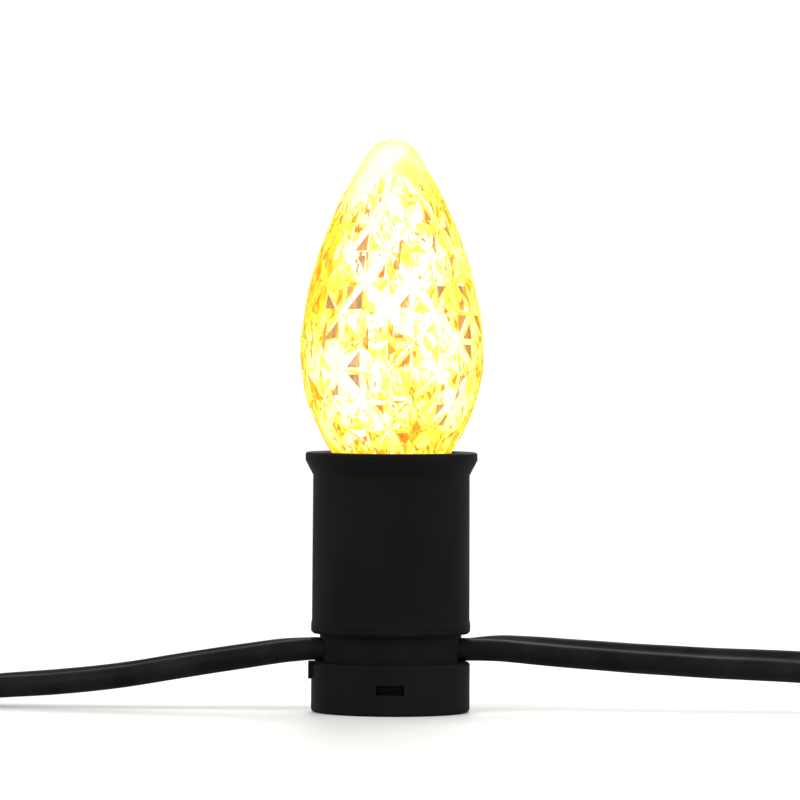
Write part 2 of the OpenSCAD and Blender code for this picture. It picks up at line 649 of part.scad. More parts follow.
// A contact of the connector: two leaves either side of the slot, joined behind it
leaf_t = 0.5;
slot_w = blade_t + 0.4;
module contact(s) {
    l = end_l - contact_x - 1.2;
    y = side_gap(s);
    color("#d0aa62") {
        for (e = [-1, 1]) translate([contact_x, y + e * (slot_w + leaf_t) / 2 - leaf_t / 2, end_z - blade_w / 2])
            cube([l, leaf_t, blade_w]);
        translate([contact_x, y - slot_w / 2 - leaf_t / 2, end_z - blade_w / 2])
            cube([leaf_t, slot_w + leaf_t, blade_w]);
        tooth_arm(s, contact_x + 1);
    }
}
module contact_space(s) {
    w = slot_w + 2 * leaf_t + 2 * fit;
    h = end_h;
    translate([contact_x - fit, side_gap(s) - w / 2, end_z - blade_w / 2 - fit])
        cube([end_l - contact_x - 1.2 + 2 * fit, w, h]);
    translate([contact_x, side_gap(s) - slot_w / 2, end_z - blade_w / 2 - fit]) cube([end_l, slot_w, blade_w + 2 * fit]);
}
module connector_body() {
    color("#1b1c1d") at_connector() end_body() {
        for (s = [-1, 1]) {
            contact_space(s);
            arm_space(s, contact_x + 1);
        }
    }
}
module connector_cover() { at_connector() end_cover(); }
module connector_contact_near() { at_connector() contact(-1); }
module connector_contact_far() { at_connector() contact(1); }

globe();
base_collar();
base_screw_shell();
base_insulator();
base_tip_contact();
led_board();
led_middle();
led_front();
led_right();
led_back();
led_left();
resistor();
rectifier();
capacitor();
shell_lead_wire();
tip_lead_wire();
socket_housing();
socket_screw_shell();
center_contact_spring();
shell_pin();
center_pin();
end_cap();
cord_clamped();
cord_left();
cord_right();
plug_body();
plug_cover();
plug_blade_near();
plug_blade_far();
connector_body();
connector_cover();
connector_contact_near();
connector_contact_far();
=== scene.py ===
"""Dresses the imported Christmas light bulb: a lit, faceted bulb in its black cord socket."""

import json
import math
import random

import bmesh
import bpy
from bpy.props import FloatProperty, FloatVectorProperty, IntProperty, PointerProperty
from mathutils import Matrix, Quaternion, Vector


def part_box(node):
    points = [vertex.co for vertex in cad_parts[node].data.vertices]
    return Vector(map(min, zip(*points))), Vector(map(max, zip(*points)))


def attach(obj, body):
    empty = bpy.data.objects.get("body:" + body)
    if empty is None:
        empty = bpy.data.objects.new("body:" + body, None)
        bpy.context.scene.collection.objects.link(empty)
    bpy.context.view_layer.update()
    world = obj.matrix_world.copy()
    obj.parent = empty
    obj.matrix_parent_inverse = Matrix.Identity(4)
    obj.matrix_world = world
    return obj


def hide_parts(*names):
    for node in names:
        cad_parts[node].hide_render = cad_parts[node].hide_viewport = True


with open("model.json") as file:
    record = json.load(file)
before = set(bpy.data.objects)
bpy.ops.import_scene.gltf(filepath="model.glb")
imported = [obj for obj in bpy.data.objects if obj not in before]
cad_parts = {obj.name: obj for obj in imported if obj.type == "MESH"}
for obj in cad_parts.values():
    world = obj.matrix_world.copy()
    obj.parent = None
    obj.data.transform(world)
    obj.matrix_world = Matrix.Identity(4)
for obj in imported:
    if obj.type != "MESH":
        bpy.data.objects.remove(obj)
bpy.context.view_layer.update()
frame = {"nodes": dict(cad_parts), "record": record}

bl_info = {
    "name": "Faceted Light Bulb",
    "version": (1, 0, 0),
    "blender": (4, 5, 0),
    "location": "3D View > Sidebar > Light Bulb",
    "description": "Builds a lit faceted screw bulb in its socket, with its cord, plug and connector",
    "category": "Add Mesh",
}

MM = 0.001
NODES = frame["nodes"]

# Lowest and highest corners that the pieces take from the frame
GLOBE_LOW, GLOBE_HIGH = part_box("globe")
SHELL_LOW, SHELL_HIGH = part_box("base_screw_shell")
NEST_LOW, NEST_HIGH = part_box("socket_screw_shell")
CLAMP_LOW, CLAMP_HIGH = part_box("cord_clamped")
COLLAR_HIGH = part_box("base_collar")[1]
RESISTOR_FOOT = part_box("resistor")[0].z

# The globe's seat under the collar's edge, its neck's distance from the collar's outside, the plain bands of
# skin under and over its lattice of facets, and the share that the lattice's end rows are drawn in to
SEAT_SUNK = 0.4 * MM
NECK_GAP = 0.95 * MM
ROOT_BAND = 1.2 * MM
DOME_BAND = 0.3 * MM
END_ROW_SHRINK = 0.985

# How the facets are broken: shares of those behind that are darkened with painted shade or marked at all,
# of those that are split and of the shards that are split again; how deep a marked facet lies and how high
# a shard's middle stands
DARK_BEHIND, MARKED_BEHIND, SPLIT_SHARE, AGAIN_SHARE = 0.11, 0.15, 0.8, 0.45
INSET_BEHIND = (0.3, 0.65)
PAN_DEPTH, SHARD_CROWN = 0.1 * MM, 0.12 * MM

# Heights where the light behind the skin changes: at the foot, to the dome, and where the facets fade out
FOOT_GLOW, DOME_GLOW, FACETS_END = (0.0478, 0.0452), (0.0935, 0.0985), (0.0965, 0.088)

# Steps of a rolled shell around and along each turn of its thread, the angles under which edges are smooth,
# and the length of the resistor's coated body
SHELL_STEPS, TURN_STEPS = 96, 16
SHELL_ANGLE, CORD_ANGLE = math.radians(40), math.radians(50)
RESISTOR_BODY = 6.3 * MM

# What each facet tells its finish: its tone, which part of the light inside it shows, and whether it is a
# ridge, a facet darkened with painted shade or a fiery one with painted orange glow
FACET_LAYERS = ("tone", "shift", "ridge", "painted_shade_facet", "ember")

# Places on the front of the globe, x and height in millimetres: facets darkened with painted shade and fiery
# facets of painted orange glow, with how far they are inset in their own facet, and patches of painted light
# and painted shade with their reach
DARK_SPOTS = ((-6, 84.6, 0.6), (-5.5, 80.6, 0.2), (-5.5, 77.8, 0.5), (-7.8, 75.2, 0.65), (-6.5, 72.2, 0.15),
              (-11.5, 70.2, 0.45), (-9.3, 66, 0.15), (-6.4, 62, 0.2), (-6.3, 57.7, 0.45), (-8.7, 56.3, 0.55),
              (-10.9, 83.3, 0.6), (10.1, 83.1, 0.4), (9.9, 78.2, 0.45), (12.5, 73.3, 0.35), (11.3, 68.3, 0.4),
              (14.3, 68.1, 0.4), (13.2, 66.6, 0.3), (13.6, 62.4, 0.3), (12, 58.8, 0.65), (8, 54.3, 0.45),
              (9.7, 49.7, 0.5), (11.4, 48.9, 0.6), (6.2, 85.4, 0.5), (7.9, 74.4, 0.55))
EMBER_SPOTS = ((3.4, 72.1, 0.45), (-0.7, 76.6, 0.65), (0.9, 49.3, 0.3), (0, 56.7, 0.6), (-2.2, 54.6, 0.65),
               (1.1, 66, 0.6), (2.4, 90.5, 0.6), (-4.1, 92.6, 0.55), (5.5, 90.7, 0.6), (2.1, 62.2, 0.5))
BRIGHT_SPOTS = ((-4.8, 75.3, 3.2), (-9.2, 60.7, 3.5), (-2.3, 82.3, 4), (2.8, 74.7, 3.8), (-7.6, 80.1, 2.5),
                (-4.4, 59.9, 4), (-7.3, 53.5, 4), (5.6, 68.3, 4), (7.3, 79.3, 4), (10.1, 54.3, 3),
                (11.8, 62.6, 3.5), (-13.2, 59.2, 3.5), (-14, 63.7, 3), (-1.2, 52, 3), (-6.3, 90.3, 4.5),
                (5.7, 94.9, 2.5), (-2.4, 69.4, 3.8), (-5, 95, 4), (-1, 99, 4.5), (0, 87, 3.5),
                (13.1, 55.8, 3), (12.5, 79.5, 3), (15, 71, 3), (14.8, 64.5, 3), (-8, 68.5, 3), (3, 58, 2.5),
                (-11.5, 50.5, 3), (9, 66, 3), (7, 60, 2.5), (2.5, 92, 3))
DIM_SPOTS = ((-12.5, 77, 5), (-14.5, 71, 4.5), (-10, 84, 3.5), (4.5, 49.5, 3.5), (-11, 66, 2.5))
# The patches with what they add to the light
PATCHES = ((BRIGHT_SPOTS, 1.0), (DIM_SPOTS, -0.45))

# The cord's routes in millimetres: x, y, height and the twist of its flat section in degrees
LEFT_ROUTE = [
    (-13.9, 0, 11, 0), (-19, 0, 10.6, 4), (-25, 0.3, 9.7, 6), (-31, 0.8, 8.75, 7),
    (-38, 1.8, 7.55, 8), (-45, 3, 6.3, 8), (-52, 4.2, 5.3, 8), (-60, 5.8, 4.45, 8), (-68, 7.5, 3.8, 6),
    (-77, 9.2, 3, 4), (-86, 10.4, 2.2, 1), (-95, 10.9, 1.9, 0), (-105, 11, 1.9, 0), (-115, 10.6, 1.9, 0),
    (-124, 9.8, 2.1, 0), (-132, 9, 2.9, 0), (-140, 8.2, 4.1, 0), (-148, 7.7, 5.1, 0),
    (-158, 7.5, 5.5, 0), (-173, 7.5, 5.5, 0),
]
RIGHT_ROUTE = [
    (13.9, 0, 11, 0), (19, 0, 11.2, 9), (25, 0, 10.85, 15), (31, -0.2, 10.4, 17),
    (37, -0.5, 10, 18), (43, -1, 9.6, 19), (49, -1.5, 9.3, 20), (56, -2.2, 8.95, 21), (64, -3.1, 8.7, 23),
    (72, -4.1, 8.4, 24), (80, -5.2, 7.8, 22), (88, -6.3, 6.9, 18), (96, -7.3, 5.7, 13), (104, -8, 4.4, 8),
    (112, -8.4, 3.1, 4), (121, -8.4, 2.1, 1), (130, -8, 2.0, 0), (138, -7.4, 2.8, 0), (146, -6.8, 4, 0),
    (154, -6.3, 5, 0), (164, -6, 5.5, 0), (179, -6, 5.5, 0),
]


class BulbSizes(bpy.types.PropertyGroup):
    """Sizes of the bulb's dressed pieces, in metres."""

    belly_d: FloatProperty(
        name="Belly", description="Widest diameter of the globe", default=32.4 * MM, unit="LENGTH")
    belly_rise: FloatProperty(
        name="Belly height", description="Height of the widest place above the collar", default=19 * MM,
        unit="LENGTH")
    root_d: FloatProperty(
        name="Root", description="Diameter of the globe at the collar", default=18.6 * MM, unit="LENGTH")
    dome_d: FloatProperty(
        name="Dome", description="Diameter at the foot of the smooth dome", default=11 * MM, unit="LENGTH")
    dome_h: FloatProperty(
        name="Dome height", description="Height of the smooth dome", default=4.5 * MM, unit="LENGTH")
    nub_d: FloatProperty(
        name="Nub", description="Diameter of the moulding nub", default=2.4 * MM, unit="LENGTH")
    wall: FloatProperty(name="Wall", description="Wall of the globe", default=1.6 * MM, unit="LENGTH")
    neck_wall: FloatProperty(
        name="Neck wall", description="Wall of the globe's neck", default=1.4 * MM, unit="LENGTH")
    columns: IntProperty(name="Facet columns", description="Diamonds around the globe", default=11, min=6)
    rows: IntProperty(name="Facet rows", description="Half diamonds up the globe", default=10, min=4)
    turn: FloatProperty(
        name="Facet turn", description="Turn of the facets about the axis", default=math.radians(-18.9),
        subtype="ANGLE")
    ridge: FloatProperty(
        name="Ridge", description="Width of the flat ridge round each diamond", default=0.26 * MM,
        unit="LENGTH")
    crown: FloatProperty(
        name="Crown", description="Height of the middle of each diamond", default=0.28 * MM, unit="LENGTH")
    sheet: FloatProperty(
        name="Sheet", description="Thickness of the rolled brass", default=0.3 * MM, unit="LENGTH")
    thread_depth: FloatProperty(
        name="Thread depth", description="Depth of the rolled thread", default=0.7 * MM, unit="LENGTH")
    curl: FloatProperty(
        name="Curl", description="How far the shell curls in below", default=0.95 * MM, unit="LENGTH")


class CordSizes(bpy.types.PropertyGroup):
    """Sizes of the flat cord, in metres."""

    width: FloatProperty(
        name="Width", description="Width of the flat cord", default=CLAMP_HIGH.y - CLAMP_LOW.y, unit="LENGTH")
    thickness: FloatProperty(
        name="Thickness", description="Thickness of the flat cord", default=CLAMP_HIGH.z - CLAMP_LOW.z,
        unit="LENGTH")
    web: FloatProperty(
        name="Web", description="Share of the thickness left between the two wires", default=0.76,
        subtype="FACTOR")


COLOUR = {"size": 3, "subtype": "COLOR"}


class Palette(bpy.types.PropertyGroup):
    """Colours of the finishes."""

    # Hot glow down to amber and ember: the glow of the lamps inside painted into the globe's emission
    hot: FloatVectorProperty(
        name="Hot glow", description="Hottest facets and ridges", **COLOUR, default=(1.0, 1.0, 1.0))
    pale: FloatVectorProperty(
        name="Pale glow", description="Bright facets", **COLOUR, default=(0.8, 0.86, 0.44))
    glow: FloatVectorProperty(
        name="Glow", description="Lit plastic", **COLOUR, default=(0.7, 0.78, 0.165))
    gold: FloatVectorProperty(
        name="Gold", description="Deeper facets", **COLOUR, default=(0.66, 0.60, 0.07))
    amber: FloatVectorProperty(
        name="Amber", description="Deepest facets", **COLOUR, default=(0.6, 0.27, 0.023))
    ember: FloatVectorProperty(
        name="Ember", description="Slivers of deep orange", **COLOUR, default=(0.48, 0.085, 0.011))
    # This colour and the next are the painted shade laid on the dark facets
    dusk: FloatVectorProperty(
        name="Dusk", description="Dark facets where they glow most", **COLOUR, default=(0.47, 0.27, 0.14))
    painted_shade_facet: FloatVectorProperty(
        name="Painted_shade_facet", description="Dark facets", **COLOUR, default=(0.27, 0.165, 0.15))
    tint: FloatVectorProperty(
        name="Tint", description="Colour of the clear plastic's skin", **COLOUR, default=(1.0, 0.87, 0.56))
    black: FloatVectorProperty(
        name="Black", description="Moulded black plastic", **COLOUR, default=(0.0028, 0.0028, 0.003))
    vinyl: FloatVectorProperty(
        name="Vinyl", description="Jacket of the cord", **COLOUR, default=(0.0032, 0.0032, 0.0034))
    brass: FloatVectorProperty(
        name="Brass", description="Rolled and stamped brass", **COLOUR, default=(0.62, 0.43, 0.17))
    collar: FloatVectorProperty(
        name="Collar", description="Pale plastic collar", **COLOUR, default=(0.72, 0.69, 0.60))
    floor: FloatVectorProperty(
        name="Floor", description="Pale floor", **COLOUR, default=(0.80, 0.79, 0.77))


class StageSettings(bpy.types.PropertyGroup):
    """Camera and light."""

    distance: FloatProperty(
        name="Distance", description="Camera to the bulb's axis", default=1.04, unit="LENGTH")
    height: FloatProperty(
        name="Height", description="Height of the camera above the floor", default=0.073, unit="LENGTH")
    aim_height: FloatProperty(
        name="Aim", description="Height at the middle of the picture", default=54.6 * MM, unit="LENGTH")
    aside: FloatProperty(
        name="Aside", description="How far right of the axis the camera stands", default=1.43 * MM,
        unit="LENGTH")
    roll: FloatProperty(
        name="Roll", description="Turn of the camera about its line of sight", default=math.radians(0.3),
        subtype="ANGLE")
    field: FloatProperty(
        name="Field", description="Width of the view at the bulb", default=0.140, unit="LENGTH")
    key_power: FloatProperty(name="Key", description="Power of the key softbox in watts", default=11.0)
    fill_power: FloatProperty(name="Fill", description="Power of the fill softbox in watts", default=6.0)
    world_strength: FloatProperty(name="World", description="Strength of the ambient light", default=0.55)


class Wire:
    """A value in a material's node tree. Its operators add Math nodes."""

    def __init__(self, tree, socket):
        self.tree = tree
        self.socket = socket

    def math(self, operation, *values):
        """Adds a Math node with these inputs."""
        node = self.tree.nodes.new("ShaderNodeMath")
        node.operation = operation
        for slot, value in zip(node.inputs, values):
            connect(self.tree, slot, value)
        return Wire(self.tree, node.outputs[0])

    def __add__(self, other):
        return self.math("ADD", self, other)

    __radd__ = __add__

    def __sub__(self, other):
        return self.math("SUBTRACT", self, other)

    def __rsub__(self, other):
        return self.math("SUBTRACT", other, self)

    def __mul__(self, other):
        return self.math("MULTIPLY", self, other)

    __rmul__ = __mul__

    def __truediv__(self, other):
        return self.math("DIVIDE", self, other)

    def __gt__(self, other):
        return self.math("GREATER_THAN", self, other)

    def __lt__(self, other):
        return self.math("LESS_THAN", self, other)

    def __abs__(self):
        return self.math("ABSOLUTE", self)

    def sine(self):
        return self.math("SINE", self)

    def most(self, other):
        return self.math("MAXIMUM", self, other)

    def rise(self, low, high, to_low=0.0, to_high=1.0):
        """Eases from to_low at low to to_high at high."""
        node = self.tree.nodes.new("ShaderNodeMapRange")
        node.interpolation_type = "SMOOTHSTEP"
        for name, value in zip(("Value", "From Min", "From Max", "To Min", "To Max"),
                               (self, low, high, to_low, to_high)):
            connect(self.tree, node.inputs[name], value)
        return Wire(self.tree, node.outputs["Result"])


def connect(tree, slot, value):
    """Links a wire to a node's input, or sets the input's own value."""
    if isinstance(value, Wire):
        tree.links.new(value.socket, slot)
    elif isinstance(value, bpy.types.NodeSocket):
        tree.links.new(value, slot)
    elif slot.type == "RGBA":
        slot.default_value = (*value, 1.0) if len(value) == 3 else value
    else:
        slot.default_value = value


class Finish:
    """A procedural material under construction."""

    def __init__(self, name):
        self.material = bpy.data.materials.new(name)
        self.material.use_nodes = True
        self.tree = self.material.node_tree
        self.tree.nodes.clear()
        self.surface = self.tree.nodes.new("ShaderNodeBsdfPrincipled")
        self.output = self.tree.nodes.new("ShaderNodeOutputMaterial")
        self.tree.links.new(self.surface.outputs["BSDF"], self.output.inputs["Surface"])
        self.place = self.node("ShaderNodeTexCoord").outputs["Object"]

    def node(self, kind, settings=None, **values):
        """Adds a node: settings are its own options, values go to the inputs of those names."""
        node = self.tree.nodes.new(kind)
        for name, value in (settings or {}).items():
            setattr(node, name, value)
        for name, value in values.items():
            connect(self.tree, node.inputs[name.replace("_", " ")], value)
        return node

    def at(self, scale=(1, 1, 1), turn=(0, 0, 0), move=(0, 0, 0)):
        """Object coordinates moved, turned and scaled by a Mapping node."""
        node = self.node("ShaderNodeMapping", Scale=scale, Rotation=turn, Location=move, Vector=self.place)
        return node.outputs["Vector"]

    def noise(self, scale, detail=3.0, roughness=0.5, stretch=(1, 1, 1)):
        """Noise over the object, drawn out along the axes whose stretch is under 1."""
        place = self.place if stretch == (1, 1, 1) else self.at(scale=stretch)
        node = self.node("ShaderNodeTexNoise", Vector=place, Scale=scale, Detail=detail, Roughness=roughness)
        return Wire(self.tree, node.outputs["Fac"])

    def mosaic(self, scale, stretch, lean, move):
        """Upright pointed cells: two random values of the cell, and how far its middle is."""
        cell = self.node("ShaderNodeTexVoronoi", {"distance": "MANHATTAN"}, Scale=scale,
                         Vector=self.at(scale=(1, 1, stretch), turn=(lean, lean, 0), move=move))
        values = self.node("ShaderNodeSeparateColor", Color=cell.outputs["Color"])
        return (Wire(self.tree, values.outputs["Red"]), Wire(self.tree, values.outputs["Green"]),
                Wire(self.tree, cell.outputs["Distance"]))

    def attribute(self, name):
        return Wire(self.tree, self.node("ShaderNodeAttribute", {"attribute_name": name}).outputs["Fac"])

    def height(self):
        node = self.node("ShaderNodeSeparateXYZ", Vector=self.place)
        return Wire(self.tree, node.outputs["Z"])

    def mix(self, factor, first, second):
        """The first colour where factor is 0, the second where it is 1."""
        node = self.node("ShaderNodeMix", {"data_type": "RGBA"})
        connect(self.tree, node.inputs[0], factor)
        connect(self.tree, node.inputs[6], first)
        connect(self.tree, node.inputs[7], second)
        return node.outputs[2]

    def bump(self, height, strength, distance, rounded=0.0):
        """A Bump node, over rounded edges where a radius is given."""
        values = {"Height": height, "Strength": strength, "Distance": distance}
        if rounded:
            values["Normal"] = self.node("ShaderNodeBevel", {"samples": 4}, Radius=rounded).outputs["Normal"]
        return self.node("ShaderNodeBump", **values).outputs["Normal"]

    def done(self, **values):
        """Sets the shader's inputs and returns the material."""
        for name, value in values.items():
            connect(self.tree, self.surface.inputs[name.replace("_", " ")], value)
        return self.material


def bezier(points, share):
    """The point of a cubic curve at a share of its length in parameter."""
    rest = 1 - share
    weights = (rest ** 3, 3 * share * rest ** 2, 3 * share ** 2 * rest, share ** 3)
    return sum((Vector(point) * weight for point, weight in zip(points, weights)), Vector((0, 0)))


def bezier_line(points, steps):
    return [bezier(points, step / steps) for step in range(steps + 1)]


def bezier_radius(points, height):
    """Radius of a rising outline curve at a height, found by halving."""
    low, high = 0.0, 1.0
    for _ in range(24):
        middle = (low + high) / 2
        if bezier(points, middle).y < height:
            low = middle
        else:
            high = middle
    return bezier(points, low).x


def lathe(lines, steps):
    """A bmesh of radius and height outlines spun about the axis."""
    bm = bmesh.new()
    for line in lines:
        verts = [bm.verts.new((radius, 0, height)) for radius, height in line]
        for pair in zip(verts, verts[1:]):
            bm.edges.new(pair)
    bmesh.ops.spin(bm, geom=bm.verts[:] + bm.edges[:], cent=(0, 0, 0), axis=(0, 0, 1), angle=math.tau,
                   steps=steps, use_merge=True)
    bmesh.ops.remove_doubles(bm, verts=bm.verts, dist=1e-7)
    bmesh.ops.recalc_face_normals(bm, faces=bm.faces)
    return bm


def piece(name, bm, body, materials, replaced=(), smooth_angle=None):
    """Makes an object of a bmesh, dresses it and puts it on its body."""
    if smooth_angle is not None:
        for face in bm.faces:
            face.smooth = True
        for edge in bm.edges:
            edge.smooth = len(edge.link_faces) == 2 and edge.calc_face_angle(0) < smooth_angle
    mesh = bpy.data.meshes.new(name)
    bm.to_mesh(mesh)
    bm.free()
    obj = bpy.data.objects.new(name, mesh)
    bpy.context.scene.collection.objects.link(obj)
    for material in materials:
        mesh.materials.append(material)
    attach(obj, body)
    if replaced:
        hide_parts(*replaced)
    return obj


def dress(node, material):
    """Gives a node of the frame its finish."""
    slots = NODES[node].data.materials
    slots.clear()
    slots.append(material)


def globe_curves(sizes):
    """Root, body and dome outlines of the globe as radius and height, from the collar's top up."""
    seat, top = COLLAR_HIGH.z - SEAT_SUNK, GLOBE_HIGH.z
    belly = Vector((sizes.belly_d / 2, seat + sizes.belly_rise))
    root = Vector((sizes.root_d / 2, seat))
    shoulder = Vector((sizes.dome_d / 2, top - sizes.dome_h))
    crown = top - 0.5 * MM

    def step(across, up):
        return Vector((across, up)) * MM

    return (
        (root, root + step(4, 5.9), belly - step(0, 7), belly),
        (belly, belly + step(0, 10.1), shoulder + step(6.6, -10), shoulder),
        (shoulder, shoulder + step(-1.6, 2.7), Vector((3.4 * MM, crown)), Vector((0, crown))),
    )


def globe_profile(sizes, curves, ring_heights):
    """The closed outline of the globe's wall: up the outside, down the inside."""
    root, body, dome = curves
    seat, top = root[0].y, GLOBE_HIGH.z
    neck = COLLAR_HIGH.x - NECK_GAP
    bore = neck - sizes.neck_wall
    crown = dome[3].y
    outside = [(bore, GLOBE_LOW.z), (neck, GLOBE_LOW.z), (neck, seat), (root[0].x, seat + 0.05 * MM)]
    outside += [(outline_radius(sizes, height), height) for height in ring_heights]
    outside += [tuple(point) for point in bezier_line(dome, 9) if point.y > ring_heights[-1] + 0.2 * MM][:-1]
    nub = sizes.nub_d / 2
    outside += [(nub, crown), (nub * 0.75, crown + 0.16 * MM), (nub * 0.5, top - 0.1 * MM), (nub * 0.2, top),
                (0, top)]
    down = [point for point in reversed(bezier_line(body, 12)) if point.x > 2 * sizes.wall]
    down += [point for point in reversed(bezier_line(root, 8)[:-1]) if point.y > seat + 0.6 * MM]
    inside = [(0, crown - sizes.wall)] + [(point.x - sizes.wall, point.y) for point in down] + [(bore, seat)]
    return outside, inside


def outline_radius(sizes, height):
    """Radius of the globe's faceted part at a height."""
    root, body, _ = globe_curves(sizes)
    return bezier_radius(root if height < body[0].y else body, height)


def cut_diamonds(bm, sizes, ring_heights):
    """Turns the rings of the skin into a lattice of diamonds and returns their faces."""
    half = math.pi / sizes.columns

    def level(height):
        return round(height * 1e7)

    rows = {level(height): row for row, height in enumerate(ring_heights)}
    crossing = {}
    for vert in bm.verts:
        row = rows.get(level(vert.co.z))
        radius = math.hypot(vert.co.x, vert.co.y)
        if row is None or abs(radius - outline_radius(sizes, vert.co.z)) > 0.01 * MM:
            continue
        column = round(math.atan2(vert.co.y, vert.co.x) / half)
        crossing[vert] = (column + row) % 2 == 0, row
    for vert, (is_crossing, row) in crossing.items():
        if not is_crossing:
            shrink = math.cos(half) if 0 < row < sizes.rows else END_ROW_SHRINK
            vert.co.x *= shrink
            vert.co.y *= shrink
    for face in list(bm.faces):
        corners = [vert for vert in face.verts if vert in crossing]
        if len(corners) == 4:
            ends = [vert for vert in corners if crossing[vert][0]]
            bmesh.utils.face_split(face, ends[0], ends[1])
    middles = [vert for vert, (is_crossing, row) in crossing.items()
               if not is_crossing and 0 < row < sizes.rows]
    crossings = {vert for vert, (is_crossing, _) in crossing.items() if is_crossing}
    bmesh.ops.dissolve_verts(bm, verts=middles)
    return [face for face in bm.faces if len(face.verts) == 4 and crossings.issuperset(face.verts)]


def by_place(place):
    """A key that sorts places, so that chance falls on the same facets in each run."""
    return tuple(round(value / MM, 2) for value in (place.z, place.x, place.y))


def in_order(faces):
    return sorted(faces, key=lambda face: by_place(face.calc_center_median()))


def choose_facets(faces, sizes, painted_shade_facet, ember, chance):
    """The facets darkened with painted shade and the fiery ones with their layer and inset in millimetres,
    and the facets that are split.
    """
    middles = [(face, front_spot(sizes, face.calc_center_median())) for face in in_order(faces)]
    marks = {}
    for layer, spots in ((ember, EMBER_SPOTS), (painted_shade_facet, DARK_SPOTS)):
        for x, z, inset in spots:
            face = min(middles, key=lambda entry: (entry[1] - Vector((x, 0, z)) * MM).length)[0]
            marks[face] = layer, inset
    split = []
    for face, place in middles:
        draw = chance.random()
        if face in marks:
            continue
        if place.y > 0 and draw < MARKED_BEHIND:
            marks[face] = (painted_shade_facet if draw < DARK_BEHIND else ember), chance.uniform(*INSET_BEHIND)
        elif draw < SPLIT_SHARE:
            split.append(face)
    return marks, split


def facet_up(bm, diamonds, sizes, chance):
    """Gives each diamond a ridge, a low crown and facets, some darkened with painted shade, some fiery with
    painted orange glow, some broken into shards.
    """
    tone, shift, ridge, painted_shade_facet, ember = (bm.faces.layers.float[name] for name in FACET_LAYERS)
    inward = bm.verts.layers.float["inward"]
    rims = bmesh.ops.inset_individual(bm, faces=diamonds, thickness=sizes.ridge, use_even_offset=True)
    for face in rims["faces"]:
        face[ridge] = 1.0
    crowns = bmesh.ops.poke(bm, faces=diamonds, offset=sizes.crown)
    for vert in crowns["verts"]:
        vert[inward] = 1.0
    marks, split = choose_facets(crowns["faces"], sizes, painted_shade_facet, ember, chance)
    for face, (layer, inset) in marks.items():
        bmesh.ops.inset_individual(bm, faces=[face], thickness=inset * MM, depth=-PAN_DEPTH,
                                   use_even_offset=True)
        face[layer] = 1.0
        middle = face.calc_center_median()
        for vert in sorted(face.verts, key=lambda vert: by_place(vert.co)):
            vert.co = vert.co.lerp(middle, chance.uniform(0, 0.35))
    for share in (AGAIN_SHARE, 0.0):
        shards = bmesh.ops.poke(bm, faces=split, offset=SHARD_CROWN)
        for vert in shards["verts"]:
            around = [edge.other_vert(vert)[inward] for edge in vert.link_edges]
            vert[inward] = sum(around) / len(around)
        split = [face for face in in_order(shards["faces"]) if chance.random() < share]
    for face in in_order(bm.faces):
        face[tone], face[shift] = chance.random(), chance.random()


def facet_turn(sizes):
    """The turn of the lattice from its own angle to how it stands on the bulb."""
    return Matrix.Rotation(sizes.turn - math.pi / 2, 3, "Z")


def front_spot(sizes, place):
    """A place on the lattice as it stands on the bulb: x and height, and y 0 where it faces the front."""
    turned = facet_turn(sizes) @ place
    return Vector((turned.x, 0.0 if turned.y < 0 else 1.0, turned.z))


def light_patches(sizes):
    """Bright and dim patches in front, and turned round to the back: place, reach and strength."""
    patches = []
    for spots, strength in PATCHES:
        for x, z, reach in spots:
            depth = max((outline_radius(sizes, z * MM) / MM) ** 2 - x * x, 0) ** 0.5
            patches += [(Vector((side * x, side * -depth, z)) * MM, reach * MM, strength) for side in (1, -1)]
    return patches


def build_globe(sizes):
    """The wall of the globe with its lattice of facets; material 0 facets, 1 smooth skin, 2 inner face."""
    curves = globe_curves(sizes)
    low, high = curves[0][0].y + ROOT_BAND, GLOBE_HIGH.z - sizes.dome_h - DOME_BAND
    rings = [low + (high - low) * row / sizes.rows for row in range(sizes.rows + 1)]
    outside, inside = globe_profile(sizes, curves, rings)
    bm = lathe((outside, inside + outside[:1]), 2 * sizes.columns)
    for name in FACET_LAYERS:
        bm.faces.layers.float.new(name)
    bm.verts.layers.float.new("inward")
    glow = bm.verts.layers.float.new("glow")
    diamonds = cut_diamonds(bm, sizes, rings)
    facet_up(bm, diamonds, sizes, random.Random(11))
    bmesh.ops.rotate(bm, cent=(0, 0, 0), matrix=facet_turn(sizes), verts=bm.verts)
    patches = light_patches(sizes)
    for vert in bm.verts:
        vert[glow] = min(1.4, sum(strength * math.exp(-((vert.co - place).length / reach) ** 2)
                                  for place, reach, strength in patches))
    for face in bm.faces:
        middle = face.calc_center_median()
        out = face.normal.x * middle.x + face.normal.y * middle.y
        radius = math.hypot(middle.x, middle.y)
        if not low < middle.z < high or radius <= outline_radius(sizes, middle.z) - 1 * MM:
            inner = out < -0.2 * radius or (face.normal.z < -0.5 and middle.z > high)
            face.material_index, face.smooth = (2 if inner else 1), True
    return bm


def ease(share):
    share = min(max(share, 0), 1)
    return share * share * (3 - 2 * share)


def thread_wave(bm, pitch, wave, low, high, side):
    """Rolls a thread into a tube, fading over one pitch to its root where side is -1, or to its crest."""
    for vert in bm.verts:
        radius = math.hypot(vert.co.x, vert.co.y)
        if not low - 0.1 * MM <= vert.co.z <= high + 0.1 * MM:
            continue
        share = ease((vert.co.z - low) / pitch) * ease((high - vert.co.z) / pitch)
        turn = math.tau * vert.co.z / pitch - math.atan2(vert.co.y, vert.co.x)
        swell = side * wave * (1 - share) + share * wave * math.cos(turn)
        vert.co.xy *= (radius + swell) / radius


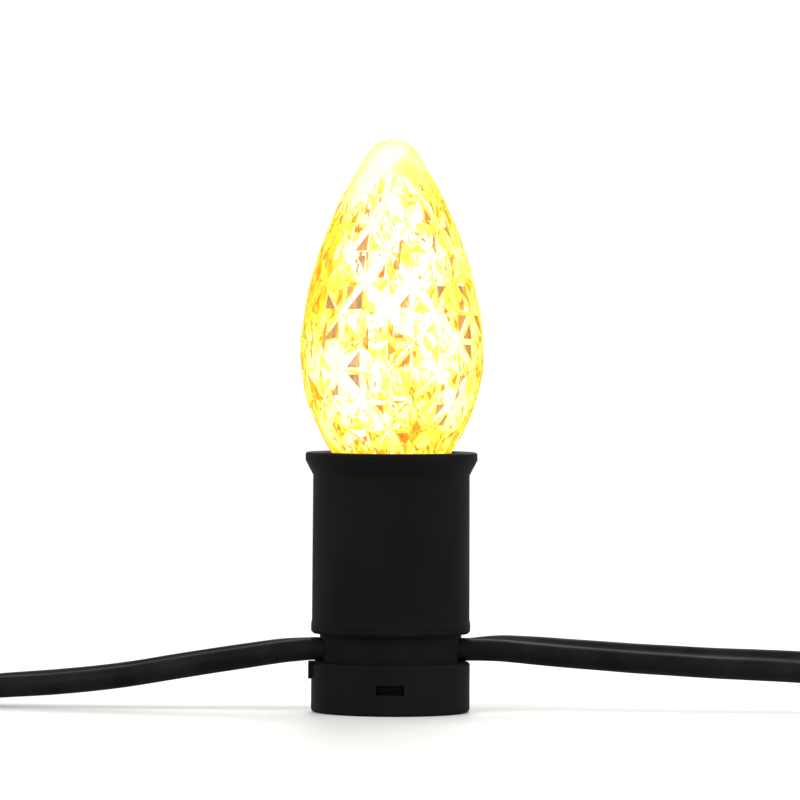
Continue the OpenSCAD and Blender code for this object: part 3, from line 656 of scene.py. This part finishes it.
def rolled_shell(sizes, pitch, foot, low, high, radius, lip, side):
    """A shell of sheet metal from its outer face: its foot, its thread between two heights, its lip."""
    count = round((high - low) / pitch * TURN_STEPS)
    rings = [(radius, low + (high - low) * ring / count) for ring in range(count + 1)]
    outer = foot + rings + lip
    inner = [(across - sizes.sheet, height) for across, height in reversed(outer)]
    bm = lathe((outer + inner + outer[:1],), SHELL_STEPS)
    thread_wave(bm, pitch, sizes.thread_depth / 2, low, high, side)
    return bm


def cord_ring(bm, sizes):
    """Adds the flat cord's section in the XY plane: two lobes and the web between them."""
    half, lobe = sizes.width / 2, sizes.thickness / 2
    side = half - lobe
    bmesh.ops.create_circle(bm, segments=40, radius=1.0)
    around = bm.verts.layers.float.new("around")
    for vert in bm.verts:
        angle = math.atan2(vert.co.y, vert.co.x)
        x = half * math.cos(angle)
        reach = max(lobe * lobe - (abs(x) - side) ** 2, 0) ** 0.5
        if abs(x) < side:
            reach = max(reach, sizes.web * lobe)
        vert.co = (x, math.copysign(reach, vert.co.y) if abs(math.sin(angle)) > 1e-4 else 0, 0)
        vert[around] = x / half


def smooth_route(route, steps):
    """Points and twists of a route, eased between its points."""
    points = [Vector(point) for point in route]
    line = []
    for index in range(len(points) - 1):
        before = points[max(index - 1, 0)]
        here, there = points[index], points[index + 1]
        after = points[min(index + 2, len(points) - 1)]
        for step in range(steps):
            t = step / steps
            line.append(0.5 * (2 * here + (there - before) * t
                               + (2 * before - 5 * here + 4 * there - after) * t ** 2
                               + (3 * here - before - 3 * there + after) * t ** 3))
    return line + [points[-1]]


def sweep_cord(sizes, route):
    """The cord's mesh along its route, the points that it follows and its length."""
    line = smooth_route(route, 4)
    bm = bmesh.new()
    cord_ring(bm, sizes)
    along = bm.verts.layers.float.new("along")
    edges, verts = list(bm.edges), list(bm.verts)
    bmesh.ops.contextual_create(bm, geom=edges)
    place = Matrix()
    run = 0.0
    for index, point in enumerate(line):
        before, after = line[max(index - 1, 0)], line[min(index + 1, len(line) - 1)]
        forward = (after - before).xyz.normalized()
        if index == 0:
            forward = Vector((math.copysign(1, forward.x), 0, 0))
        flat = Vector((0, 0, 1)).cross(forward).normalized()
        up = forward.cross(flat)
        twist = Matrix.Rotation(math.radians(point.w) * math.copysign(1, forward.x), 4, "Z")
        upright = Matrix((flat, up, forward)).transposed().to_4x4()
        target = Matrix.Translation(point.xyz * MM) @ upright @ twist
        if index:
            run += (point - line[index - 1]).xyz.length * MM
            geometry = bmesh.ops.extrude_edge_only(bm, edges=edges)["geom"]
            verts = [item for item in geometry if isinstance(item, bmesh.types.BMVert)]
            edges = [item for item in geometry
                     if isinstance(item, bmesh.types.BMEdge) and set(verts).issuperset(item.verts)]
        bmesh.ops.transform(bm, matrix=target @ place.inverted(), verts=verts)
        for vert in verts:
            vert[along] = run
        place = target
    bmesh.ops.contextual_create(bm, geom=edges)
    bmesh.ops.recalc_face_normals(bm, faces=bm.faces)
    return bm, [tuple(point.xyz * MM) for point in line], run


def black_plastic(palette):
    finish = Finish("Moulded black plastic")
    grain = finish.noise(900, 4, 0.6)
    cloud = finish.noise(60, 3)
    return finish.done(
        Base_Color=finish.mix(cloud.rise(0.3, 0.7), palette.black, [c * 1.5 + 0.002 for c in palette.black]),
        Roughness=cloud.rise(0.25, 0.75, 0.6, 0.74), Specular_IOR_Level=0.05,
        Normal=finish.bump(grain, 0.25, 0.00006, 0.0003))


def cord_vinyl(palette):
    finish = Finish("Cord vinyl")
    along, around = finish.attribute("along"), finish.attribute("around")
    mottle = finish.noise(140, 4, 0.6)
    rib = (abs(around - 0.5) < 0.03) * 0.6
    streak = finish.noise(500, 2, stretch=(0.05, 1, 1))
    worn = [c * 1.9 + 0.003 for c in palette.vinyl]
    return finish.done(
        Base_Color=finish.mix(mottle.rise(0.3, 0.75), palette.vinyl, worn),
        Roughness=streak.rise(0.2, 0.8, 0.5, 0.66), Specular_IOR_Level=0.05,
        Normal=finish.bump(streak * 0.4 + rib + (along * 900).sine() * 0.02, 0.35, 0.00012))


def rolled_brass(palette):
    finish = Finish("Rolled brass")
    lines = finish.noise(1500, 2, stretch=(0.06, 0.06, 1))
    stain = finish.noise(160, 4, 0.6)
    return finish.done(
        Base_Color=finish.mix(stain.rise(0.45, 0.75), palette.brass, (0.42, 0.27, 0.09)),
        Metallic=stain.rise(0.4, 0.9, 1.0, 0.9), Roughness=lines.rise(0.25, 0.75, 0.24, 0.4),
        Normal=finish.bump(lines, 0.12, 0.00003))


def glow_ramp(finish, palette, heat):
    """Colour of the lit plastic from amber at 0 to white hot at 1."""
    ramp = finish.node("ShaderNodeValToRGB", Fac=heat)
    stops = ramp.color_ramp.elements
    for stop, place, colour in ((stops[0], 0.08, palette.amber), (stops[1], 0.67, palette.hot)):
        stop.position = place
        stop.color = (*colour, 1)
    for place, colour in ((0.2, palette.gold), (0.36, palette.glow), (0.54, palette.pale)):
        stops.new(place).color = (*colour, 1)
    return ramp.outputs["Color"]


def lit_plastic(finish, palette, colour, rough):
    """The clear plastic with the glow of the lamps inside painted into its emission, with a tinted coat that
    deepens towards the outline.
    """
    return finish.done(
        Base_Color=finish.mix(rough, [c * 0.02 for c in palette.tint], [c * 0.05 for c in palette.tint]),
        Emission_Color=colour, Emission_Strength=1.95, Roughness=rough, IOR=1.2, Specular_IOR_Level=0.2,
        Coat_Weight=1.0, Coat_IOR=1.02, Coat_Roughness=0.1, Coat_Tint=palette.tint)


def inner_light(finish):
    """Broad heat of the light behind facets and dome alike, with its patches and its noise."""
    glow = finish.attribute("glow")
    broad = finish.noise(170, 2, 0.5, stretch=(1, 1, 0.7))
    streaks = finish.noise(800, 2, 0.6, stretch=(1, 1, 0.06))
    foot, top = finish.height().rise(*FOOT_GLOW), finish.height().rise(*DOME_GLOW)
    heat = 0.46 + (glow - 0.45) * 0.32 + (broad - 0.5) * 0.5 + top * 0.16
    return heat - foot * (0.14 + (streaks - 0.5) * 0.9), glow, broad


def lit_facets(palette):
    """The cut plastic of the globe, lit from inside."""
    finish = Finish("Lit faceted globe")
    tone, shift, ridge, painted_shade_facet, ember = (finish.attribute(name) for name in FACET_LAYERS)
    inward = finish.attribute("inward")
    heat, glow, broad = inner_light(finish)
    faceted = finish.height().rise(*FACETS_END)
    fine = finish.noise(900, 2, 0.6, stretch=(1, 1, 0.35))

    # Each facet shows its own part of two mosaics, bright towards the ridges
    large, large_mark, _ = finish.mosaic(520, 0.45, 0.3, shift * 0.05)
    small, small_mark, middle = finish.mosaic(1100, 0.42, -0.25, shift * 0.07)
    detail = (tone - 0.5) * (0.38 - ridge * 0.2) + (large - 0.5) * 0.58
    detail = detail + (small - 0.5) * 0.24 + (fine - 0.5) * 0.25
    band = (1 - inward.rise(0.03, 0.1 + broad * 0.8)) * glow.rise(0.4, 1.1) * 0.4
    heat = heat + faceted * (detail * glow.rise(-0.3, 0.2, 0.45, 1) + band) + ridge * 0.03
    colour = glow_ramp(finish, palette, heat.most(0.06 + small * 0.12))

    # Painted sparks, fiery facets and slivers of painted deep orange glow, then the painted shade of the dark
    # facets
    spark = (small_mark < 0.11) * middle.rise(0.5, 0.36) * faceted * glow.rise(1.2, 0.6, 0.3, 1)
    colour = finish.mix(spark * 0.85, colour, finish.mix(large_mark, palette.ember, palette.amber))
    fire = finish.mix(fine.rise(0.35, 0.65), palette.ember, palette.amber)
    slivers = finish.noise(620, 2, 0.6, stretch=(1, 1, 0.22))
    fiery = (ember * slivers.rise(0.4, 0.58, 0.2, 0.95)).most(slivers.rise(0.625, 0.675) * faceted * 0.85)
    colour = finish.mix(fiery, colour, fire)
    # Painted shade on the dark facets, between its deepest colour and dusk, over a patchy cover
    painted_shade_depth = (fine * 0.9 + small * 0.4 + tone * 0.4 - 0.35).rise(0.15, 0.8)
    painted_shade_cover = finish.noise(430, 2, 0.5, stretch=(1, 1, 0.6)).rise(0.34, 0.56, 0.82, 1)
    colour = finish.mix(painted_shade_facet * painted_shade_cover, colour, finish.mix(painted_shade_depth, palette.painted_shade_facet, palette.dusk))
    return lit_plastic(finish, palette, colour, fine.rise(0.3, 0.7, 0.12, 0.3))


def lit_skin(palette):
    finish = Finish("Lit smooth skin")
    heat, _, broad = inner_light(finish)
    return lit_plastic(finish, palette, glow_ramp(finish, palette, heat), broad.rise(0.3, 0.7, 0.15, 0.3))


def lit_inside(palette):
    finish = Finish("Lit inner face")
    flow = finish.noise(200, 3, 0.5)
    # The glow of the lamps inside painted into the inner face's emission
    return finish.done(
        Base_Color=finish.mix(flow, (0.4, 0.3, 0.08), (0.6, 0.5, 0.2)),
        Emission_Color=finish.mix(flow.rise(0.3, 0.7), palette.glow, palette.hot), Emission_Strength=1.0,
        Roughness=flow.rise(0.3, 0.7, 0.2, 0.35))


def plain_finish(name, low, high, scale, rough, metal=0.0, grain=0.0, rounded=0.0, glow=None):
    """A finish that varies between two colours and two roughnesses, with a fine grain."""
    finish = Finish(name)
    cloud = finish.noise(scale, 4, 0.6)
    fine = finish.noise(scale * 9, 3, 0.6)
    values = dict(Base_Color=finish.mix(cloud.rise(0.3, 0.7), low, high),
                  Roughness=fine.rise(0.3, 0.7, *rough), Metallic=metal)
    if grain or rounded:
        values["Normal"] = finish.bump(fine, 0.3, grain or 0.00001, rounded)
    if glow:
        values.update(Emission_Color=finish.mix(cloud.rise(0.3, 0.7), *glow), Emission_Strength=1.0)
    return finish.done(**values)


# By node: name, two colours, scale, roughness, metal, depth of the grain and radius of the edges
PLAIN_FINISHES = {
    "base_insulator": ("Dark insulator", (0.03, 0.018, 0.014), (0.05, 0.03, 0.022), 250, (0.25, 0.4), 0.0,
                       0.00003, 0.0003),
    "base_tip_contact": ("Solder", (0.55, 0.55, 0.56), (0.68, 0.68, 0.68), 300, (0.22, 0.4), 1.0,
                         0.00008, 0.0004),
    "led_board": ("Board", (0.02, 0.16, 0.06), (0.03, 0.22, 0.08), 400, (0.3, 0.45), 0.0, 0.00003),
    "rectifier": ("Epoxy package", (0.012, 0.012, 0.013), (0.022, 0.022, 0.024), 500, (0.4, 0.55), 0.0,
                  0.00003, 0.00015),
    "capacitor": ("Blue sleeve", (0.02, 0.07, 0.22), (0.03, 0.09, 0.28), 200, (0.25, 0.4), 0.0, 0.00002),
    "tip_lead_wire": ("Tinned wire", (0.6, 0.6, 0.58), (0.7, 0.7, 0.68), 900, (0.2, 0.35), 1.0, 0.00002),
    "shell_lead_wire": ("Red wire cover", (0.35, 0.015, 0.01), (0.42, 0.03, 0.015), 500, (0.35, 0.5), 0.0,
                        0.00002),
}


def resistor_bands():
    """A tan resistor with four bands and bare leads."""
    finish = Finish("Banded resistor")
    share = (finish.height() - RESISTOR_FOOT) / RESISTOR_BODY
    cloud = finish.noise(600, 3)
    colour = finish.mix(cloud.rise(0.3, 0.7), (0.62, 0.46, 0.26), (0.72, 0.56, 0.34))
    for place, band in ((0.2, (0.35, 0.04, 0.02)), (0.38, (0.02, 0.02, 0.02)), (0.55, (0.55, 0.2, 0.02)),
                        (0.78, (0.5, 0.36, 0.08))):
        colour = finish.mix(abs(share - place) < 0.045, colour, band)
    lead = share > 1.0
    return finish.done(Base_Color=finish.mix(lead, colour, (0.6, 0.6, 0.6)), Metallic=lead,
                       Roughness=cloud.rise(0.3, 0.7, 0.3, 0.45))


class SceneOperator(bpy.types.Operator):
    """What the building steps share"""

    bl_options = {"REGISTER", "UNDO"}


class BULB_OT_stage(SceneOperator):
    """Add the camera, the lights, the world and the floor"""

    bl_idname = "bulb.stage"
    bl_label = "Stage"

    def execute(self, context):
        scene = context.scene
        stage = scene.bulb_stage
        camera = bpy.data.objects.new("Camera", bpy.data.cameras.new("Camera"))
        scene.collection.objects.link(camera)
        scene.camera = camera
        camera.data.sensor_width = 36
        camera.data.lens = 36 * stage.distance / stage.field
        camera.data.clip_start = 0.01
        camera.location = (stage.aside, -stage.distance, stage.height)
        aim = Vector((stage.aside, 0, stage.aim_height)) - camera.location
        level = aim.to_track_quat("-Z", "Y")
        camera.rotation_euler = (level @ Quaternion((0, 0, 1), stage.roll)).to_euler()
        for name, place, size, power in (("Key", (-0.7, -0.75, 0.85), 0.7, stage.key_power),
                                         ("Fill", (0.85, -0.5, 0.55), 0.8, stage.fill_power),
                                         ("Back", (0.2, 0.9, 0.7), 0.7, stage.fill_power)):
            light = bpy.data.lights.new(name, "AREA")
            light.size = size
            light.energy = power
            lamp = bpy.data.objects.new(name, light)
            scene.collection.objects.link(lamp)
            lamp.location = place
            lamp.rotation_euler = (Vector((0, 0, 0.05)) - lamp.location).to_track_quat("-Z", "Y").to_euler()
        self.light_world(scene, stage.world_strength)
        self.lay_floor(scene)
        scene.view_settings.view_transform = "Standard"
        return {"FINISHED"}

    def light_world(self, scene, strength):
        """An even ambient light that looks white."""
        world = bpy.data.worlds.new("Studio")
        scene.world = world
        world.use_nodes = True
        tree = world.node_tree
        tree.nodes.clear()
        path = tree.nodes.new("ShaderNodeLightPath")
        seen = Wire(tree, path.outputs["Is Camera Ray"]).most(Wire(tree, path.outputs["Is Glossy Ray"]))
        seen = seen.most(Wire(tree, path.outputs["Is Transmission Ray"]))
        background = tree.nodes.new("ShaderNodeBackground")
        background.inputs["Color"].default_value = (1, 1, 1, 1)
        connect(tree, background.inputs["Strength"], seen * (1 - strength) + strength)
        output = tree.nodes.new("ShaderNodeOutputWorld")
        tree.links.new(background.outputs[0], output.inputs["Surface"])

    def lay_floor(self, scene):
        """A pale floor that fades into the white background."""
        bm = bmesh.new()
        bmesh.ops.create_circle(bm, cap_ends=True, segments=96, radius=2.5)
        mesh = bpy.data.meshes.new("Floor")
        bm.to_mesh(mesh)
        bm.free()
        floor = bpy.data.objects.new("Floor", mesh)
        scene.collection.objects.link(floor)
        finish = Finish("Pale floor")
        tree = finish.tree
        cloud = finish.noise(3, 4)
        tint = scene.bulb_palette.floor
        finish.done(Base_Color=finish.mix(cloud, tint, [c * 0.97 for c in tint]),
                    Roughness=cloud.rise(0.3, 0.7, 0.5, 0.6))
        spread = finish.node("ShaderNodeVectorMath", {"operation": "LENGTH"})
        tree.links.new(finish.place, spread.inputs[0])
        away = Wire(tree, spread.outputs["Value"]).rise(0.16, 0.62)
        path = tree.nodes.new("ShaderNodeLightPath")
        white = finish.node("ShaderNodeEmission", Color=(1, 1, 1, 1), Strength=1.0)
        blend = tree.nodes.new("ShaderNodeMixShader")
        connect(tree, blend.inputs[0], away * Wire(tree, path.outputs["Is Camera Ray"]))
        tree.links.new(finish.surface.outputs[0], blend.inputs[1])
        tree.links.new(white.outputs[0], blend.inputs[2])
        tree.links.new(blend.outputs[0], finish.output.inputs["Surface"])
        mesh.materials.append(finish.material)


class BULB_OT_cords(SceneOperator):
    """Add the flat cord to the left and to the right of the socket"""

    bl_idname = "bulb.cords"
    bl_label = "Cords"

    def execute(self, context):
        sizes = context.scene.bulb_cord
        vinyl = cord_vinyl(context.scene.bulb_palette)
        for side, route, far_end, metal in (("left", LEFT_ROUTE, "plug", "blade"),
                                            ("right", RIGHT_ROUTE, "connector", "contact")):
            bm, path, length = sweep_cord(sizes, route)
            cord = piece(f"cord_run_{side}", bm, "socket", (vinyl,), (f"cord_{side}",),
                         CORD_ANGLE)
        dress("cord_clamped", vinyl)
        return {"FINISHED"}


class BULB_OT_globe(SceneOperator):
    """Add the lit faceted globe of the bulb"""

    bl_idname = "bulb.globe"
    bl_label = "Globe"

    def execute(self, context):
        palette = context.scene.bulb_palette
        piece("faceted_globe", build_globe(context.scene.bulb_sizes), "bulb",
              (lit_facets(palette), lit_skin(palette), lit_inside(palette)), ("globe",))
        return {"FINISHED"}


class BULB_OT_shells(SceneOperator):
    """Add the rolled screw shells of the bulb and of the socket"""

    bl_idname = "bulb.shells"
    bl_label = "Screw shells"

    def execute(self, context):
        sizes = context.scene.bulb_sizes
        brass = rolled_brass(context.scene.bulb_palette)
        pitch = frame["record"]["behaviour"]["couplings"][0]["ratio"] * math.tau
        wave = sizes.thread_depth / 2
        foot, lip, crest = SHELL_LOW.z, SHELL_HIGH.z, SHELL_HIGH.x
        mean, root = crest - wave, crest - 2 * wave
        low, high = foot + 1.1 * MM, lip - 1.2 * MM
        bm = rolled_shell(sizes, pitch, [(mean - sizes.curl, foot), (root, foot + 0.5 * MM)], low, high, mean,
                          [(root, high + 0.4 * MM), (crest, lip - 0.4 * MM), (crest, lip)], -1)
        piece("bulb_screw_shell", bm, "bulb", (brass,), ("base_screw_shell",), SHELL_ANGLE)
        foot, lip, crest = NEST_LOW.z, NEST_HIGH.z, NEST_HIGH.x
        low, high = foot + 4.2 * MM, lip - 1 * MM
        bm = rolled_shell(sizes, pitch, [(crest, foot), (crest, low - 1 * MM)], low, high, crest - wave,
                          [(crest, lip)], 1)
        piece("socket_nest_shell", bm, "socket", (brass,), ("socket_screw_shell",),
              SHELL_ANGLE)
        return {"FINISHED"}


class BULB_OT_base(SceneOperator):
    """Finish the collar, the insulator, the tip contact, the lamps and the board inside the bulb"""

    bl_idname = "bulb.base"
    bl_label = "Base and lamps"

    def execute(self, context):
        palette = context.scene.bulb_palette
        pale = palette.collar
        dress("base_collar", plain_finish("Collar plastic", pale, [c * 0.9 for c in pale], 300, (0.35, 0.5),
                                          grain=0.00003, rounded=0.0003))
        lamp = plain_finish("Lit lamp", (0.7, 0.6, 0.3), (0.8, 0.7, 0.4), 300, (0.1, 0.2),
                            glow=(palette.hot, (1.0, 0.9, 0.5)))
        for node in ("led_middle", "led_front", "led_right", "led_back", "led_left"):
            dress(node, lamp)
        dress("resistor", resistor_bands())
        for node, look in PLAIN_FINISHES.items():
            dress(node, plain_finish(*look))
        return {"FINISHED"}


class BULB_OT_socket(SceneOperator):
    """Finish the socket, its contacts and the end cap, plug and connector"""

    bl_idname = "bulb.socket"
    bl_label = "Socket, plug and connector"

    def execute(self, context):
        palette = context.scene.bulb_palette
        black = black_plastic(palette)
        for node in ("socket_housing", "end_cap", "plug_body", "plug_cover", "connector_body",
                     "connector_cover"):
            dress(node, black)
        brass = plain_finish("Stamped brass", palette.brass, (0.48, 0.31, 0.11), 220, (0.2, 0.36), metal=1.0,
                             grain=0.000004, rounded=0.0001)
        for node in ("center_contact_spring", "shell_pin", "center_pin", "plug_blade_near", "plug_blade_far",
                     "connector_contact_near", "connector_contact_far"):
            dress(node, brass)
        return {"FINISHED"}


STEPS = (BULB_OT_stage, BULB_OT_cords, BULB_OT_globe, BULB_OT_shells, BULB_OT_base, BULB_OT_socket)
GROUPS = (("bulb_sizes", BulbSizes), ("bulb_cord", CordSizes), ("bulb_palette", Palette),
          ("bulb_stage", StageSettings))


class BULB_PT_panel(bpy.types.Panel):
    """Sizes, colours and the building steps of the light bulb"""

    bl_label = "Light Bulb"
    bl_idname = "BULB_PT_panel"
    bl_space_type = "VIEW_3D"
    bl_region_type = "UI"
    bl_category = "Light Bulb"

    def draw(self, context):
        for step in STEPS:
            self.layout.operator(step.bl_idname)
        for name, group in GROUPS:
            box = self.layout.box()
            for setting in group.__annotations__:
                box.prop(getattr(context.scene, name), setting)


def register():
    for name, group in GROUPS:
        bpy.utils.register_class(group)
        setattr(bpy.types.Scene, name, PointerProperty(type=group))
    for step in STEPS:
        bpy.utils.register_class(step)
    bpy.utils.register_class(BULB_PT_panel)


def unregister():
    bpy.utils.unregister_class(BULB_PT_panel)
    for step in reversed(STEPS):
        bpy.utils.unregister_class(step)
    for name, group in reversed(GROUPS):
        delattr(bpy.types.Scene, name)
        bpy.utils.unregister_class(group)


def main():
    register()
    bpy.ops.bulb.stage()
    bpy.ops.bulb.cords()
    bpy.ops.bulb.globe()
    bpy.ops.bulb.shells()
    bpy.ops.bulb.base()
    bpy.ops.bulb.socket()


if __name__ == "__main__":
    main()
